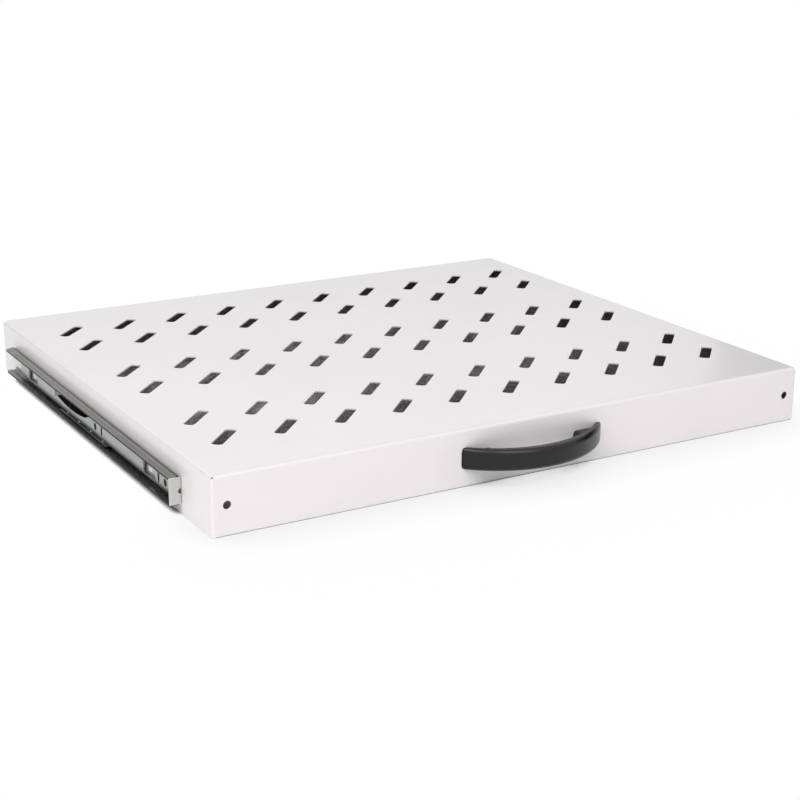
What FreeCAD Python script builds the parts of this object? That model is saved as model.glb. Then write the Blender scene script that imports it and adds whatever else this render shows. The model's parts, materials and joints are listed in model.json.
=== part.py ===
# Sliding rack shelf: a folded sheet-steel tray with a bow handle, carried on two ball-bearing slides.
# Each slide is a channel screwed to the tray's side wall, a caged row of balls above and below,
# and a flat rail inside the channel that a rack holds. A release lever sits on each rail.
# Millimetres. X runs across the shelf, Y from front to back and Z up.
# The origin is the middle of the footprint, on the surface that the shelf stands on.
import FreeCAD, Part
import os
from math import cos, pi, sin, sqrt

Vector = FreeCAD.Vector

# Tray, folded from one sheet
tray_width = 424.0
tray_depth = 369.0
tray_height = 36.5
sheet = 1.2
bend_radius = 3.0
return_width = 10.0
return_bend_radius = 1.6
return_end_gap = 3.5
corner_relief = 1.4

# Slots in the deck: pairs of rows, set at a slant
slot_columns = 10
slot_pitch = 40.0
slot_pairs = 3
pair_spacing = 40.0
pair_pitch = 110.0
first_row_setback = 56.8
grid_offset = 2.0
slot_length = 28.0
slot_width = 7.0
slot_angle = 46.0

# Fixing holes at the ends of the front face
front_hole_radius = 2.5
front_hole_inset = 9.5

# Bow handle
handle_length = 102.0
handle_reach = 24.0
handle_height = 13.6
bow_thickness = 10.0
foot_inner_x = 28.5
foot_outer_x = 43.0
foot_thickness = 5.5
foot_height = 11.6
bow_round = 4.0
bow_inner_round = 2.5
outer_steps = 2
inner_steps = 1
foot_edge = 1.0
handle_screw_x = 37.0
handle_screw_radius = 2.5
handle_screw_grip = 7.0
handle_head_radius = 4.6
handle_head_height = 2.8
washer_radius = 5.5
washer_thickness = 1.0

# Slide: channel on the tray
slide_length = 300.0
slide_setback = 41.0
slide_centre_z = 14.6
slide_depth = 7.6
channel_height = 17.0
channel_gauge = 1.0
flange_gauge = 1.2
tab_thickness = 1.0
tab_slit = 0.4
tab_notch_radius = 1.6
rear_notch_depth = 14.0
rear_notch_height = 12.0
flange_corner = 3.0
stop_length = 4.0

# Balls and their cage
ball_radius = 1.25
ball_clearance = 0.12
race_depth = 0.45
balls_in_row = 4
cage_length = 85.0
cage_gauge = 0.5
cage_arm_gauge = 0.7
cage_arm_reach = 2.2
cage_end_margin = 10.0
pocket_clearance = 0.08

# Rail held by the rack
rail_gauge = 1.2
running_gap = 0.3
closed_gap = 0.5
end_gap = 0.5
stop_lug_gap = 0.4
rail_rear_gap = 22.0
rail_hole_radius = 2.25
rail_hole_front = 16.5
rail_hole_spacing = 114.0
access_length = 18.0
access_height = 7.6
access_lead = 3.0
slit_along = (26.5, 119.5)
slit_width = 2.4
slit_height = 5.4
hook_setback = 97.0
hook_raise = 2.4
hook_height = 4.6
hook_reach = 1.8

# Countersunk screws and nuts that hold the channel to the wall
front_screw_along = 44.0
rear_screw_setback = 44.5
screw_radius = 2.0
screw_head_radius = 3.0
screw_clearance = 0.05
screw_tail = 1.3
nut_width = 7.0
nut_thickness = 3.2

# Release lever on the rail
lever_setback = 129.3
lever_span = 58.0
lever_height = 5.2
lever_tip_radius = 0.6
lever_thickness = 1.4
lever_raise = 2.2
lever_gap = 0.2
rivet_radius = 1.25
rivet_clearance = 0.05
rivet_head_radius = 2.2
rivet_head_height = 0.5
rivet_head_gap = 0.1

# Places that follow from the sizes above
front_y = (handle_reach - tray_depth) / 2
back_y = front_y + tray_depth
wall_x = tray_width / 2
front_mid_z = tray_height / 2
slide_front = front_y + slide_setback
screw_along = (front_screw_along, slide_length - rear_screw_setback)
lever_along = slide_length - lever_setback
hook_along = slide_length - hook_setback
handle_hole_radius = handle_screw_radius + 2 * screw_clearance
race_radius = ball_radius + ball_clearance
flange_inner = channel_height / 2 - flange_gauge
ball_z = flange_inner + race_depth - race_radius
cage_inner = channel_gauge + running_gap
rail_inner = cage_inner + cage_gauge + running_gap
rail_outer = rail_inner + rail_gauge
ball_out = (rail_inner + rail_outer) / 2
pocket_half = ball_radius + pocket_clearance
rail_half = ball_z - race_radius + race_depth
rail_start = tab_thickness + closed_gap
rail_end = slide_length - rail_rear_gap
rail_length = rail_end - rail_start
cage_travel = (slide_length - stop_length - rail_start - stop_length - cage_length) / 2 - end_gap
cage_start = rail_start + stop_length + cage_travel + end_gap
X_AXIS = Vector(1, 0, 0)
Y_AXIS = Vector(0, 1, 0)
Z_AXIS = Vector(0, 0, 1)


def block(x, y, z):
    """A box between pairs of limits along each axis."""
    size = [high - low for low, high in (x, y, z)]
    return Part.makeBox(*size, Vector(x[0], y[0], z[0]))


def prism(edges, along):
    """A solid swept straight from a closed outline."""
    return Part.Face(Part.Wire(edges)).extrude(along)


def line(a, b):
    return Part.LineSegment(a, b).toShape()


def arc(a, middle, b):
    return Part.Arc(a, middle, b).toShape()


def slide_point(out, along, up):
    """A point on the right-hand slide: out from the wall, back from its front end, up from its middle."""
    return Vector(wall_x + out, slide_front + along, slide_centre_z + up)


def slide_block(out, along, up):
    low = slide_point(out[0], along[0], up[0])
    high = slide_point(out[1], along[1], up[1])
    return block((low.x, high.x), (low.y, high.y), (low.z, high.z))


def slide_rod(radius, out, along, up, direction, length):
    return Part.makeCylinder(radius, length, slide_point(out, along, up), direction)


def lathe(outline, base, direction):
    """A solid of revolution from (distance along, radius) points, about a line through base."""
    side = Z_AXIS if abs(direction.z) < 0.5 else X_AXIS
    points = [base + direction * along + side * radius for along, radius in outline]
    return Part.Face(Part.makePolygon(points + points[:1])).revolve(base, direction, 360)


def rounded_box(width, depth, height, radius, base):
    """A box with its upright and top edges rounded, as a folded and welded tray is outside and inside."""
    box = Part.makeBox(width, depth, height, base)
    edges = [edge for edge in box.Edges if edge.BoundBox.ZMax > base.z + height / 2]
    return box.makeFillet(radius, edges)


def return_lip(face_y, inward):
    """The inward return along the bottom of a front or rear flange, and the room that its bend takes."""
    half = tray_width / 2 - return_end_gap
    bend = return_bend_radius
    outside_bend = bend * (1 - sqrt(0.5))
    inside_bend = bend - (bend - sheet) * sqrt(0.5)

    def at(depth, z):
        return Vector(-half, face_y + inward * depth, z)

    outline = [
        arc(at(0, bend), at(outside_bend, outside_bend), at(bend, 0)),
        line(at(bend, 0), at(return_width, 0)),
        line(at(return_width, 0), at(return_width, sheet)),
        line(at(return_width, sheet), at(bend, sheet)),
        arc(at(bend, sheet), at(inside_bend, inside_bend), at(sheet, bend)),
        line(at(sheet, bend), at(0, bend)),
    ]
    room = block((-half, half), sorted((face_y, face_y + inward * sheet)), (0, bend))
    return prism(outline, X_AXIS * (2 * half)), room


def deck_slots():
    """Cutters for the slanted slots, in pairs of rows."""
    half_length = slot_length / 2
    half_width = slot_width / 2
    cutter = Part.makeBox(slot_length, slot_width, 4 * sheet, Vector(-half_length, -half_width, 0))
    cutter.rotate(Vector(0, 0, 0), Z_AXIS, slot_angle)
    cutters = []
    for pair in range(slot_pairs):
        for row in range(2):
            y = front_y + first_row_setback + pair * pair_pitch + row * pair_spacing
            for column in range(slot_columns):
                x = grid_offset + (column - (slot_columns - 1) / 2) * slot_pitch
                cutters.append(cutter.translated(Vector(x, y, tray_height - 2 * sheet)))
    return cutters


def corner_reliefs():
    """Small square holes where three folds meet at each top corner."""
    cutters = []
    for x in (-1, 1):
        for y, edge_y in ((1, front_y), (-1, back_y)):
            centre = Vector(x * (wall_x - bend_radius), edge_y + y * bend_radius, tray_height - bend_radius)
            outward = Vector(x, -y, 1)
            half = corner_relief / 2
            punch = Part.makeBox(corner_relief, corner_relief, 2 * bend_radius, Vector(-half, -half, 0))
            punch.Placement = FreeCAD.Placement(centre, FreeCAD.Rotation(Z_AXIS, outward))
            cutters.append(punch)
    return cutters


def screw_seat(along, clearance):
    """A countersunk screw's body at one place on the slide, or its seat when given a clearance."""
    cone = screw_head_radius - screw_radius
    tail = channel_gauge + sheet + nut_thickness + screw_tail
    outline = [(0, 0), (0, screw_head_radius + clearance), (cone, screw_radius + clearance),
               (tail, screw_radius + clearance), (tail, 0)]
    return lathe(outline, slide_point(channel_gauge, along, 0), X_AXIS * -1)


def both_sides(shape):
    return [shape, shape.mirror(Vector(0, 0, 0), X_AXIS)]


def tray():
    outer_corner = Vector(-wall_x, front_y, 0)
    inner_corner = outer_corner + Vector(sheet, sheet, 0)
    inner_width = tray_width - 2 * sheet
    inner_depth = tray_depth - 2 * sheet
    outside = rounded_box(tray_width, tray_depth, tray_height, bend_radius, outer_corner)
    inside = rounded_box(inner_width, inner_depth, tray_height - sheet, bend_radius - sheet, inner_corner)
    body = outside.cut(inside)
    for face_y, inward in ((front_y, 1), (back_y, -1)):
        lip, room = return_lip(face_y, inward)
        body = body.cut(room).fuse(lip)
    holes = deck_slots() + corner_reliefs()
    front_holes = ((wall_x - front_hole_inset, front_hole_radius), (handle_screw_x, handle_hole_radius))
    for hole_x, radius in front_holes:
        for x in (-hole_x, hole_x):
            start = Vector(x, front_y - sheet, front_mid_z)
            holes.append(Part.makeCylinder(radius, 3 * sheet, start, Y_AXIS))
    for along in screw_along:
        holes += both_sides(screw_seat(along, screw_clearance))
    return body.cut(holes).removeSplitter()


def bow_section(outer, inner, low, high):
    """The bow's section as (radius, height) points, with each corner rounded in a few steps."""
    corners = ((outer - bow_round, high - bow_round, bow_round, outer_steps),
               (inner + bow_inner_round, high - bow_inner_round, bow_inner_round, inner_steps),
               (inner + bow_inner_round, low + bow_inner_round, bow_inner_round, inner_steps),
               (outer - bow_round, low + bow_round, bow_round, outer_steps))
    points = []
    for quarter, (radius, height, rounding, steps) in enumerate(corners):
        for step in range(steps + 1):
            turn = (quarter + step / steps) * pi / 2
            points.append((radius + rounding * cos(turn), height + rounding * sin(turn)))
    return points


def bow():
    """A rounded bar bent to an arc in plan, cut off flush with the front face."""
    half_length = handle_length / 2
    outer_radius = (half_length ** 2 + handle_reach ** 2) / (2 * handle_reach)
    inner_radius = outer_radius - bow_thickness
    axis_base = Vector(0, front_y + outer_radius - handle_reach, 0)
    low = front_mid_z - handle_height / 2
    outline = bow_section(outer_radius, inner_radius, low, low + handle_height)
    corners = [Vector(0, axis_base.y - radius, z) for radius, z in outline]
    section = Part.Face(Part.makePolygon(corners + corners[:1]))
    sweep = 180.0
    section.rotate(axis_base, Z_AXIS, -sweep / 2)
    bar = section.revolve(axis_base, Z_AXIS, sweep)
    room = block((-handle_length, handle_length), (front_y - 2 * handle_reach, front_y), (0, tray_height))
    return bar.common(room)


def handle():
    body = bow()
    low = front_mid_z - foot_height / 2
    for x in (-1, 1):
        foot = block(sorted((x * foot_inner_x, x * foot_outer_x)), (front_y - foot_thickness, front_y),
                     (low, low + foot_height))
        free_edges = [edge for edge in foot.Edges if edge.BoundBox.YMax < front_y]
        body = body.fuse(foot.makeChamfer(foot_edge, free_edges))
    bores = []
    for x in (-1, 1):
        mouth = Vector(x * handle_screw_x, front_y, front_mid_z)
        depth = handle_screw_grip + end_gap
        bores.append(Part.makeCylinder(handle_screw_radius + screw_clearance, depth, mouth, Y_AXIS * -1))
    return body.cut(bores).removeSplitter()


def handle_screws():
    screws = []
    for x in (-1, 1):
        face = Vector(x * handle_screw_x, front_y + sheet + washer_thickness, front_mid_z)
        shank = sheet + washer_thickness + handle_screw_grip
        outline = [(-shank, 0), (-shank, handle_screw_radius), (0, handle_screw_radius),
                   (0, handle_head_radius), (handle_head_height, handle_head_radius),
                   (handle_head_height, 0)]
        screws.append(lathe(outline, face, Y_AXIS))
    return Part.makeCompound(screws)


def handle_washers():
    washers = []
    for x in (-1, 1):
        face = Vector(x * handle_screw_x, front_y + sheet, front_mid_z)
        disc = Part.makeCylinder(washer_radius, washer_thickness, face, Y_AXIS)
        washers.append(disc.cut(Part.makeCylinder(handle_hole_radius, washer_thickness, face, Y_AXIS)))
    return Part.makeCompound(washers)


def rear_cuts():
    """Cutters for the notch in the rear end of the channel's web and for the flanges' rear corners."""
    half = channel_height
    notch_half = rear_notch_height / 2
    notch = slide_block((0, channel_gauge), (slide_length - rear_notch_depth, slide_length),
                        (-notch_half, notch_half))
    points = [slide_point(slide_depth, slide_length - flange_corner, -half),
              slide_point(slide_depth, slide_length, -half),
              slide_point(slide_depth - flange_corner, slide_length, -half)]
    corner = Part.Face(Part.makePolygon(points + points[:1])).extrude(Z_AXIS * (2 * half))
    return [notch, corner]


def channel():
    half = channel_height / 2
    start = tab_thickness + tab_slit
    whole = (start, slide_length)
    body = slide_block((0, slide_depth), whole, (-half, half))
    beads = []
    races = []
    stops = []
    run = slide_length - start
    stop_ends = (slide_length - stop_length, slide_length)
    for sign in (-1, 1):
        bead = slide_rod(race_radius + flange_gauge, ball_out, start, sign * ball_z, Y_AXIS, run)
        flange_side = sorted((sign * flange_inner, sign * channel_height))
        beads.append(bead.common(slide_block((0, slide_depth), whole, flange_side)))
        races.append(slide_rod(race_radius, ball_out, start, sign * ball_z, Y_AXIS, run))
        stop_side = sorted((sign * (rail_half + end_gap), sign * (flange_inner + race_depth)))
        stops.append(slide_block((cage_inner, ball_out + race_radius), stop_ends, stop_side))
    body = body.fuse(beads)
    hollow = slide_block((channel_gauge, slide_depth + 1), whole, (-flange_inner, flange_inner))
    body = body.cut([hollow] + races).fuse(stops)
    tab = slide_block((0, slide_depth), (0, tab_thickness), (-half, half))
    neck = slide_block((0, channel_gauge), (0, start), (-flange_inner, flange_inner))
    body = body.fuse([tab, neck])
    cutters = [slide_rod(tab_notch_radius, 0, 0, 0, Y_AXIS, tab_thickness)]
    cutters += rear_cuts()
    cutters += [screw_seat(along, screw_clearance) for along in screw_along]
    return body.cut(cutters).removeSplitter()


def channel_screws():
    return Part.makeCompound([screw_seat(along, 0) for along in screw_along])


def channel_nuts():
    nuts = []
    corner = nut_width / 2 / cos(pi / 6)
    for along in screw_along:
        centre = slide_point(-sheet - nut_thickness, along, 0)
        turns = [k * pi / 3 for k in range(7)]
        points = [centre + Vector(0, corner * cos(turn), corner * sin(turn)) for turn in turns]
        nut = Part.Face(Part.makePolygon(points)).extrude(X_AXIS * nut_thickness)
        nuts.append(nut.cut(screw_seat(along, screw_clearance)))
    return Part.makeCompound(nuts)


def rail():
    plate = (rail_inner, rail_outer)
    body = slide_block(plate, (rail_start, rail_end), (-rail_half, rail_half))
    races = [slide_rod(race_radius, ball_out, rail_start, sign * ball_z, Y_AXIS, rail_length)
             for sign in (-1, 1)]
    body = body.cut(races)
    lug = flange_inner - stop_lug_gap
    hook_end = hook_along + rail_gauge
    hook_side = (hook_raise - hook_height / 2, hook_raise + hook_height / 2)
    stop_lugs = slide_block(plate, (rail_start, rail_start + stop_length), (-lug, lug))
    hook = slide_block((rail_inner, rail_outer + hook_reach), (hook_along, hook_end), hook_side)
    body = body.fuse([stop_lugs, hook])
    holes = [slide_block(plate, (hook_end, hook_end + hook_reach), hook_side)]
    windows = [(along, slit_width, slit_height) for along in slit_along]
    windows += [(along - access_lead, access_length, access_height) for along in screw_along]
    for along, length, height in windows:
        span = (along - length / 2, along + length / 2)
        holes.append(slide_block(plate, span, (-height / 2, height / 2)))
    round_holes = [(rail_hole_front, 0, rail_hole_radius),
                   (rail_hole_front + rail_hole_spacing, 0, rail_hole_radius),
                   (lever_along, lever_raise, rivet_radius)]
    for along, up, radius in round_holes:
        holes.append(slide_rod(radius, rail_inner, along, up, X_AXIS, rail_gauge))
    return body.cut(holes).removeSplitter()


def ball_places():
    run = cage_length - 2 * cage_end_margin
    return [cage_start + cage_end_margin + run * k / (balls_in_row - 1) for k in range(balls_in_row)]


def cage():
    arm_outer = ball_z + cage_arm_gauge / 2
    arm_inner = ball_z - cage_arm_gauge / 2
    whole = (cage_start, cage_start + cage_length)
    body = slide_block((cage_inner, cage_inner + cage_gauge), whole, (-arm_outer, arm_outer))
    arm = (cage_inner, ball_out + cage_arm_reach)
    window = (cage_inner, ball_out + pocket_half)
    windows = []
    for sign in (-1, 1):
        body = body.fuse(slide_block(arm, whole, sorted((sign * arm_inner, sign * arm_outer))))
        side = (sign * ball_z - pocket_half, sign * ball_z + pocket_half)
        for along in ball_places():
            windows.append(slide_block(window, (along - pocket_half, along + pocket_half), side))
    return body.cut(windows).removeSplitter()


def ball(centre):
    """A ball with few facets: a cube with its edges cut back until all corners lie on the ball."""
    edge = 2 * ball_radius / sqrt(5 + 2 * sqrt(2))
    width = edge * (1 + sqrt(2))
    corner = centre - Vector(width, width, width) / 2
    cube = Part.makeBox(width, width, width, corner)
    return cube.makeChamfer((width - edge) / 2, cube.Edges)


def balls():
    spheres = []
    for sign in (-1, 1):
        for along in ball_places():
            spheres.append(ball(slide_point(ball_out, along, sign * ball_z)))
    return Part.makeCompound(spheres)


def lever():
    inner = rail_outer + lever_gap
    half = lever_span / 2
    crown = lever_height / 2

    def at(along, up):
        return slide_point(inner, lever_along + along, lever_raise + up)

    outline = [arc(at(-half, 0), at(0, crown), at(half, 0)), arc(at(half, 0), at(0, -crown), at(-half, 0))]
    body = prism(outline, X_AXIS * lever_thickness)
    tips = [edge for edge in body.Edges if isinstance(edge.Curve, Part.Line)]
    body = body.makeFillet(lever_tip_radius, tips)
    bore_radius = rivet_radius + rivet_clearance
    bore = slide_rod(bore_radius, inner, lever_along, lever_raise, X_AXIS, lever_thickness)
    return body.cut(bore)


def lever_rivet():
    seat = rail_outer + lever_gap + lever_thickness + rivet_head_gap
    shank = slide_rod(rivet_radius, rail_inner, lever_along, lever_raise, X_AXIS, seat - rail_inner)
    head = slide_rod(rivet_head_radius, seat, lever_along, lever_raise, X_AXIS, rivet_head_height)
    return shank.fuse(head)


nodes = {
    "tray": tray(),
    "handle": handle(),
    "handle_screws": handle_screws(),
    "handle_washers": handle_washers(),
}
slide_pieces = (channel, channel_screws, channel_nuts, rail, cage, balls, lever, lever_rivet)
for piece in slide_pieces:
    right, left = both_sides(piece())
    nodes["right_" + piece.__name__] = right
    nodes["left_" + piece.__name__] = left

os.makedirs("parts", exist_ok=True)
for name, shape in nodes.items():
    shape.exportStep("parts/" + name + ".step")
    print(name, "solids", len(shape.Solids), "valid", shape.isValid(), "volume", round(shape.Volume, 1))
print("shelf travel", 2 * cage_travel, "cage start", cage_start)
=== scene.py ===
import bmesh
import bpy
import json
from math import asin, atan2, cos, pi, radians, sin, sqrt
from mathutils import Matrix, Vector


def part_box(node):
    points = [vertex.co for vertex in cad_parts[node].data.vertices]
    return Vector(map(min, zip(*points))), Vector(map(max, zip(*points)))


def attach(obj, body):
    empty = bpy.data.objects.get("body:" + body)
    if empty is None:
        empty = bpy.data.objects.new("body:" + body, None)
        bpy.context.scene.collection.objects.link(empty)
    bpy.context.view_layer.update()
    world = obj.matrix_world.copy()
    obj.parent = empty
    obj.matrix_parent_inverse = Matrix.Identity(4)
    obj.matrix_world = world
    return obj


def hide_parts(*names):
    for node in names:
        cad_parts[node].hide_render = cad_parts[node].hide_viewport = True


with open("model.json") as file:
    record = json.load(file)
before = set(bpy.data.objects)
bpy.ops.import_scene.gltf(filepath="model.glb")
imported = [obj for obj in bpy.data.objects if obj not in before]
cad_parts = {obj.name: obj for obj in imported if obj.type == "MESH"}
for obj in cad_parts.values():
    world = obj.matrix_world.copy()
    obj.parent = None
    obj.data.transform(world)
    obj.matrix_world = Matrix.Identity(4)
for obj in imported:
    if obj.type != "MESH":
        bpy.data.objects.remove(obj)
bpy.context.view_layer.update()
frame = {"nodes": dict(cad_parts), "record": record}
mm = 0.001                                    # shapes are drawn in millimetres and scaled once
weld = 0.001                                  # points this near, in millimetres, are joined
near = 0.01                                   # points this near count as being in one place
skin = 0.1                                    # how far from a surface its own faces may lie
aligned = 0.999                               # a flat face looks one way when its normal has this much of it
record = frame["record"]
bodyOf = {node: body for body, nodes in record["behaviour"]["bodies"].items() for node in nodes}
mounts = {mount["name"]: mount for mount in record["mounts"]}
slotOf = {part["node"]: part["material_slot"] for part in record["subparts"]}
finishes = {}
print("frame loaded with", len(frame["nodes"]), "nodes")


# shader maths: a socket that sums and products are written with
class Wire:
    def __init__(self, finish, socket):
        self.finish = finish
        self.socket = socket

    def sums(self, operation, first, second):
        return self.finish.node("ShaderNodeMath", {"operation": operation}, {0: first, 1: second})

    def __add__(self, other):
        return self.sums("ADD", self, other)

    def __radd__(self, other):
        return self.sums("ADD", other, self)

    def __mul__(self, other):
        return self.sums("MULTIPLY", self, other)

    def __rmul__(self, other):
        return self.sums("MULTIPLY", other, self)


class Finish:
    def __init__(self, tree):
        self.tree = tree
        self.tree.nodes.clear()

    def node(self, kind, settings=None, sockets=None, out=0):
        made = self.tree.nodes.new(kind)
        for key, value in (settings or {}).items():
            if key == "stops":
                ramp = made.color_ramp
                while len(ramp.elements) < len(value):
                    ramp.elements.new(1.0)
                for stop, (place, tone) in zip(ramp.elements, value):
                    stop.position = place
                    stop.color = (*tone, 1.0)
            else:
                setattr(made, key, value)
        for key, value in (sockets or {}).items():
            if isinstance(value, Wire):
                self.tree.links.new(value.socket, made.inputs[key])
            else:
                made.inputs[key].default_value = value
        return Wire(self, made.outputs[out]) if len(made.outputs) else None

    def noise(self, scale, detail, stretch=(1.0, 1.0, 1.0)):
        place = self.node("ShaderNodeTexCoord", out="Object")
        place = self.node("ShaderNodeMapping", {}, {"Vector": place, "Scale": stretch})
        return self.node("ShaderNodeTexNoise", {}, {"Vector": place, "Scale": scale, "Detail": detail})

    def ramp(self, value, stops):
        return self.node("ShaderNodeValToRGB", {"stops": stops}, {"Fac": value})

    def mottle(self, first, second, marks, low, high):
        # a tone that wanders between two colours with two noises
        share, rest = marks["shares"]
        start, end = marks["stops"]
        return self.ramp(first * share + second * rest, [(start, low), (end, high)])

    def openness(self, reach, samples):
        return self.node("ShaderNodeAmbientOcclusion", {"samples": samples}, {"Distance": reach}, out="AO")

    def bump(self, height, distance, strength):
        return self.node("ShaderNodeBump", {}, {"Height": height, "Distance": distance, "Strength": strength})

    def surface(self, sockets):
        shader = self.node("ShaderNodeBsdfPrincipled", {}, sockets)
        self.node("ShaderNodeOutputMaterial", {}, {"Surface": shader})


def newFinish(slotName):
    material = bpy.data.materials.new(slotName)
    material.use_nodes = True
    finishes[slotName] = material
    return Finish(material.node_tree)


# light grey powder coat: fine orange peel, a faint unevenness in tone and gloss; noises are (scale, detail)
powderCoat = {"light": (0.862, 0.826, 0.838), "dull": (0.827, 0.792, 0.803), "patches": (14.0, 3.0),
              "peel": (900.0, 2.0), "grain": (3600.0, 1.0), "shares": (0.8, 0.2), "stops": (0.3, 0.62),
              "peelDepth": 0.00003, "peelStrength": 0.5, "gloss": 0.28, "glossSpread": (0.1, 0.06), "ior": 1.5,
              "coat": 0.4, "coatGloss": 0.12}


def makePowderCoat():
    paint = newFinish("tray_paint")
    patches, peel, grain = [paint.noise(*powderCoat[name]) for name in ("patches", "peel", "grain")]
    patchSpread, grainSpread = powderCoat["glossSpread"]
    paint.surface({
        "Base Color": paint.mottle(patches, grain, powderCoat, powderCoat["dull"], powderCoat["light"]),
        "Roughness": powderCoat["gloss"] + patchSpread * patches + grainSpread * grain,
        "IOR": powderCoat["ior"],
        "Coat Weight": powderCoat["coat"],
        "Coat Roughness": powderCoat["coatGloss"],
        "Normal": paint.bump(peel, powderCoat["peelDepth"], powderCoat["peelStrength"]),
    })


# black plastic and blackened steel: fine grain and a slight bloom where hands rub it
bowPlastic = {"deep": (0.002, 0.0016, 0.0015), "worn": (0.0055, 0.0045, 0.0042), "grain": 2600.0,
              "grainDepth": 0.00003, "gloss": 0.16, "sheen": 0.42}
leverPlastic = {"deep": (0.0015, 0.0015, 0.0015), "worn": (0.003, 0.003, 0.003), "grain": 3200.0,
                "grainDepth": 0.00002, "gloss": 0.6, "sheen": 0.008}
rivetBlack = {"deep": (0.002, 0.002, 0.0022), "worn": (0.008, 0.008, 0.0085), "grain": 1800.0,
              "grainDepth": 0.00001, "gloss": 0.4, "sheen": 0.02}
handWear = {"wear": (90.0, 4.0), "grainDetail": 2.0, "shares": (0.7, 0.3), "stops": (0.3, 0.7), "dulling": 0.16,
            "grainStrength": 0.6}


def makePlastic(slotName, look):
    plastic = newFinish(slotName)
    grain = plastic.noise(look["grain"], handWear["grainDetail"])
    wear = plastic.noise(*handWear["wear"])
    plastic.surface({
        "Base Color": plastic.mottle(wear, grain, handWear, look["deep"], look["worn"]),
        "Roughness": look["gloss"] + handWear["dulling"] * wear,
        "Specular IOR Level": look["sheen"],
        "Normal": plastic.bump(grain, look["grainDepth"], handWear["grainStrength"]),
    })


# plated steel: streaks along the rolling direction, a spangle of tone and soft handling marks
rolled = (1.0, 0.02, 1.0)
plain = (1.0, 1.0, 1.0)
zincRail = {"bright": (0.37, 0.4, 0.39), "dark": (0.265, 0.29, 0.28), "streaks": rolled, "gloss": 0.14, "metal": 1.0}
# the channel's colour is darkened by ambient occlusion in its creases: painted shade
zincChannel = {"bright": (0.34, 0.338, 0.322), "dark": (0.25, 0.248, 0.236), "streaks": rolled, "gloss": 0.16,
               "metal": 1.0, "creviceShade": 0.01}
# a much lighter copy of the channel's zinc for its web: painted light against the shade seen through the rail's
# windows
zincWebPaintedLight = {"bright": (0.7, 0.72, 0.71), "dark": (0.58, 0.6, 0.59), "streaks": rolled, "gloss": 0.42, "metal": 0.8}
# a nearly black copy of the channel's zinc for its flanges' outer edges: painted shade
zincEdgePaintedShade = {"bright": (0.06, 0.058, 0.056), "dark": (0.03, 0.029, 0.028), "streaks": rolled, "gloss": 0.5,
            "metal": 1.0}
# a lighter copy of the zinc for the channel's front tab and the rail's hook: painted light
zincTabPaintedLight = {"bright": (0.74, 0.745, 0.72), "dark": (0.62, 0.62, 0.605), "streaks": plain, "gloss": 0.26, "metal": 1.0}
bareStrip = {"bright": (0.27, 0.27, 0.265), "dark": (0.17, 0.17, 0.167), "streaks": rolled, "gloss": 0.35,
             "metal": 1.0}
screwZinc = {"bright": (0.95, 0.95, 0.94), "dark": (0.86, 0.86, 0.85), "streaks": plain, "gloss": 0.36, "metal": 0.1}
ballChrome = {"bright": (0.3, 0.3, 0.305), "dark": (0.22, 0.22, 0.224), "streaks": plain, "gloss": 0.26, "metal": 1.0}
plateMarks = {"streaks": (2200.0, 3.0), "blotches": (60.0, 3.0), "shares": (0.5, 0.5), "stops": (0.32, 0.62),
              "glossSpread": (0.12, 0.08), "streakDepth": 0.00001, "streakStrength": 0.4, "samples": 8}


def makePlate(slotName, look):
    plate = newFinish(slotName)
    streaks = plate.noise(*plateMarks["streaks"], look["streaks"])
    blotches = plate.noise(*plateMarks["blotches"])
    tone = plate.mottle(streaks, blotches, plateMarks, look["dark"], look["bright"])
    # ambient occlusion darkens the base colour in creases and corners: painted shade
    if "creviceShade" in look:
        openness = plate.openness(look["creviceShade"], plateMarks["samples"])
        tone = plate.node("ShaderNodeVectorMath", {"operation": "SCALE"}, {0: tone, "Scale": openness})
    blotchSpread, streakSpread = plateMarks["glossSpread"]
    plate.surface({
        "Base Color": tone,
        "Metallic": look["metal"],
        "Roughness": look["gloss"] + blotchSpread * blotches + streakSpread * streaks,
        "Normal": plate.bump(streaks, plateMarks["streakDepth"], plateMarks["streakStrength"]),
    })


makePowderCoat()
for slotName, look in (("handle_plastic", bowPlastic), ("lever_plastic", leverPlastic), ("rivet_black", rivetBlack)):
    makePlastic(slotName, look)
for slotName, look in (("slide_zinc", zincRail), ("channel_zinc", zincChannel), ("web_zinc_painted_light", zincWebPaintedLight),
                       ("edge_zinc_painted_shade", zincEdgePaintedShade), ("tab_zinc_painted_light", zincTabPaintedLight), ("cage_steel", bareStrip),
                       ("fastener_zinc", screwZinc), ("ball_steel", ballChrome)):
    makePlate(slotName, look)
print("finishes made:", len(finishes))


# drawing and shaping helpers; a shape drawn along Z is turned to face one of three ways
toRight = Matrix.Rotation(pi / 2, 4, "Y")
toFront = Matrix.Rotation(pi / 2, 4, "X")
toRear = Matrix.Rotation(-pi / 2, 4, "X")


def nodeBox(node):
    low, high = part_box(node)
    return low / mm, high / mm


def everything(bm):
    return bm.verts[:] + bm.edges[:] + bm.faces[:]


def pick(geom, kind):
    return [item for item in geom if isinstance(item, kind)]


def block(bm, low, high):
    verts = bmesh.ops.create_cube(bm, size=1.0)["verts"]
    low, high = Vector(low), Vector(high)
    bmesh.ops.scale(bm, vec=high - low, verts=verts)
    bmesh.ops.translate(bm, vec=(low + high) / 2, verts=verts)
    return verts


def rectangle(bm, place, length, width):
    size = Matrix.Diagonal((length, width, 1, 1))
    return bmesh.ops.create_grid(bm, x_segments=1, y_segments=1, size=0.5, matrix=place @ size)["verts"]


def roundEdges(bm, edges, offset, steps):
    bmesh.ops.bevel(bm, geom=edges, offset=offset, offset_type="OFFSET", segments=steps, profile=0.5,
                    affect="EDGES", material=-1)


def roundCorners(bm, face, radius, steps):
    made = bmesh.ops.bevel(bm, geom=face.verts[:], offset=radius, offset_type="OFFSET", segments=steps,
                           profile=0.5, affect="VERTICES", material=-1)
    return made["verts"][0].link_faces[0]


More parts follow.
